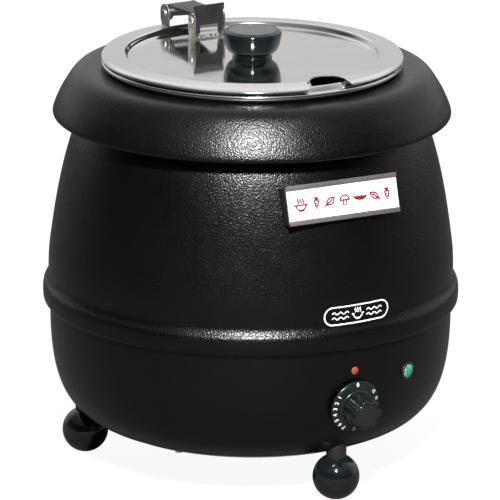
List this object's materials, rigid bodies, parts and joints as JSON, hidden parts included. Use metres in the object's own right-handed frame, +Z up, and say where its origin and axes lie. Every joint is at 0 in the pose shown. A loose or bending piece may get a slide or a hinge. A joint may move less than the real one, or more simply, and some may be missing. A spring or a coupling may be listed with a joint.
{
  "type": "soup kettle",
  "caption": "Countertop electric soup kettle: round black steel body on ball feet, lift-out pot, hinged polished lid with a ladle notch, front heat dial, pilot lamp and label holder.",
  "frame": {"origin": "on the kettle's vertical axis, at the level that the feet stand on", "axes": "+Z up; -Y is the front, with the control dial; +Y is the rear, with the hinge and the cord gland; +X is to the right of somebody facing the front"},
  "size_m": [0.3452, 0.373, 0.37],
  "materials": {
    "body_paint": "satin",
    "cover_steel": "satin",
    "zinc_steel": "satin",
    "pan_aluminium": "satin",
    "silicone": "matte",
    "heater_sheath": "matte",
    "thermostat_case": "satin",
    "copper": "satin",
    "black_plastic": "satin",
    "block_plastic": "satin",
    "wire_brown": "satin",
    "wire_blue": "satin",
    "wire_green": "satin",
    "ball_plastic": "gloss",
    "lamp_green": "gloss",
    "index_red": "gloss",
    "rail_plastic": "satin",
    "card_paper": "satin",
    "dial_plastic": "satin",
    "dial_cap_plastic": "satin",
    "pot_steel": "satin",
    "ring_steel": "polished",
    "lid_steel": "polished",
    "bracket_nickel": "satin",
    "rivet_nickel": "polished",
    "link_black": "satin",
    "knob_plastic": "gloss",
    "knob_cap_plastic": "satin"
  },
  "bodies": {
    "kettle_body": {"lower_shell": "body_paint", "upper_shell": "body_paint", "collar": "body_paint", "bottom_cover": "cover_steel", "cover_screws": "zinc_steel", "water_pan": "pan_aluminium", "pan_seal": "silicone", "heating_element": "heater_sheath", "element_plate": "zinc_steel", "element_nuts": "zinc_steel", "tie_rod": "zinc_steel", "tie_rod_nuts": "zinc_steel", "thermostat_body": "thermostat_case", "thermostat_screws": "zinc_steel", "thermostat_bulb": "copper", "thermal_cutout": "black_plastic", "terminal_block": "block_plastic", "terminal_screws": "zinc_steel", "lead_live": "wire_brown", "lead_neutral": "wire_blue", "lead_earth": "wire_green", "gland_body": "black_plastic", "gland_nut": "black_plastic", "foot_ball_front": "ball_plastic", "foot_ball_left": "ball_plastic", "foot_ball_right": "ball_plastic", "foot_spacers": "black_plastic", "foot_seats": "black_plastic", "foot_studs": "zinc_steel", "foot_nuts": "zinc_steel", "lamp_lens": "lamp_green", "lamp_body": "black_plastic", "index_stud": "index_red", "label_pad": "black_plastic", "label_holder": "rail_plastic"},
    "label_card": {"label_card": "card_paper"},
    "dial": {"dial_knob": "dial_plastic", "dial_cap": "dial_cap_plastic", "thermostat_shaft": "zinc_steel"},
    "pot": {"soup_pot": "pot_steel"},
    "ring": {"lid_ring": "ring_steel", "rear_bracket": "bracket_nickel", "rear_rivets": "rivet_nickel", "rear_pin": "rivet_nickel"},
    "link": {"hinge_link": "link_black"},
    "lid_assembly": {"lid": "lid_steel", "front_bracket": "bracket_nickel", "front_rivets": "rivet_nickel", "front_pin": "rivet_nickel", "lid_knob": "knob_plastic", "knob_cap": "knob_cap_plastic", "knob_screw": "zinc_steel"}
  },
  "joints": [
    {"name": "dial_turn", "type": "hinge", "parent": "kettle_body", "child": "dial", "pos_m": [-0.00143, -0.16419, 0.088], "axis": [0.0086, 0.9902, 0.1392], "range_deg": [0, 306]},
    {"name": "card_slide", "type": "slide", "parent": "kettle_body", "child": "label_card", "axis": [0.9984, -0.0558, 0], "range_m": [0, 0.1]},
    {"name": "pot_lift", "type": "slide", "parent": "kettle_body", "child": "pot", "axis": [0, 0, 1], "range_m": [0, 0.25]},
    {"name": "ring_lift", "type": "slide", "parent": "pot", "child": "ring", "axis": [0, 0, 1], "range_m": [0, 0.06]},
    {"name": "link_swing", "type": "hinge", "parent": "ring", "child": "link", "pos_m": [0, 0.119, 0.354], "axis": [-1, 0, 0], "range_deg": [0, 105]},
    {"name": "lid_swing", "type": "hinge", "parent": "link", "child": "lid_assembly", "pos_m": [0, 0.0742, 0.3573], "axis": [-1, 0, 0], "range_deg": [-8.5, 0]}
  ],
  "couplings": [
    {"joint": "lid_swing", "follows": "link_swing", "ratio": -0.08}
  ]
}
